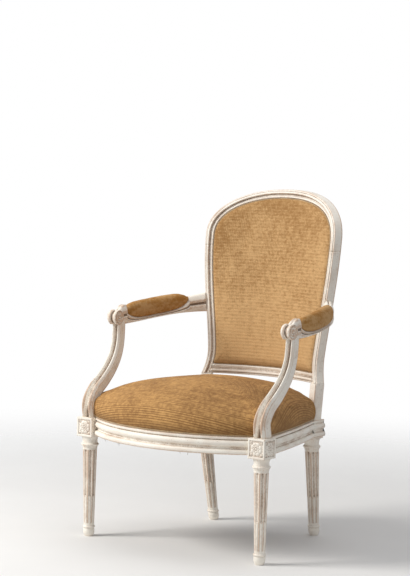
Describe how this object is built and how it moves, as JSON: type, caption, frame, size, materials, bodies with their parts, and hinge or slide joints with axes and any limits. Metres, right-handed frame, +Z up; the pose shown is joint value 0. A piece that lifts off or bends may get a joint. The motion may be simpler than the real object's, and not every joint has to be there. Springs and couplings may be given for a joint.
{
  "type": "armchair",
  "caption": "Upholstered armchair with a painted carved wood frame, fluted tapering legs, scrolled padded arms, a domed seat and a hollow arched back.",
  "frame": {"origin": "on the floor under the middle of the chair's box", "axes": "+X to the right seen from the front, +Y towards the back, +Z up"},
  "size_m": [0.587, 0.5972, 0.89],
  "materials": {
    "cream_paint": "worn cream paint over beech",
    "ribbed_cloth": "ribbed golden tan weave",
    "arm_velvet": "short golden brown pile",
    "jute": "raw jute",
    "spring_steel": "drawn wire",
    "beech": "bare beech"
  },
  "bodies": {
    "root": {"front_seat_rail": "cream_paint", "rear_seat_rail": "cream_paint", "back_crest_rail": "cream_paint", "back_bottom_rail": "cream_paint", "right_front_leg": "cream_paint", "right_rear_leg": "cream_paint", "right_seat_rail": "cream_paint", "right_back_stile": "cream_paint", "right_arm_rest": "cream_paint", "right_arm_support": "cream_paint", "left_front_leg": "cream_paint", "left_rear_leg": "cream_paint", "left_seat_rail": "cream_paint", "left_back_stile": "cream_paint", "left_arm_rest": "cream_paint", "left_arm_support": "cream_paint", "seat_cushion": "ribbed_cloth", "back_pad": "ribbed_cloth", "back_cover_panel": "ribbed_cloth", "right_arm_pad": "arm_velvet", "left_arm_pad": "arm_velvet", "seat_hessian": "jute", "back_lining": "jute", "lengthwise_web_1": "jute", "lengthwise_web_2": "jute", "lengthwise_web_3": "jute", "lengthwise_web_4": "jute", "crosswise_web_1": "jute", "crosswise_web_2": "jute", "crosswise_web_3": "jute", "seat_spring_1": "spring_steel", "seat_spring_2": "spring_steel", "seat_spring_3": "spring_steel", "seat_spring_4": "spring_steel", "seat_spring_5": "spring_steel", "right_peg_1": "beech", "right_peg_2": "beech", "right_peg_3": "beech", "right_peg_4": "beech", "right_peg_5": "beech", "right_peg_6": "beech", "left_peg_1": "beech", "left_peg_2": "beech", "left_peg_3": "beech", "left_peg_4": "beech", "left_peg_5": "beech", "left_peg_6": "beech"}
  },
  "joints": []
}
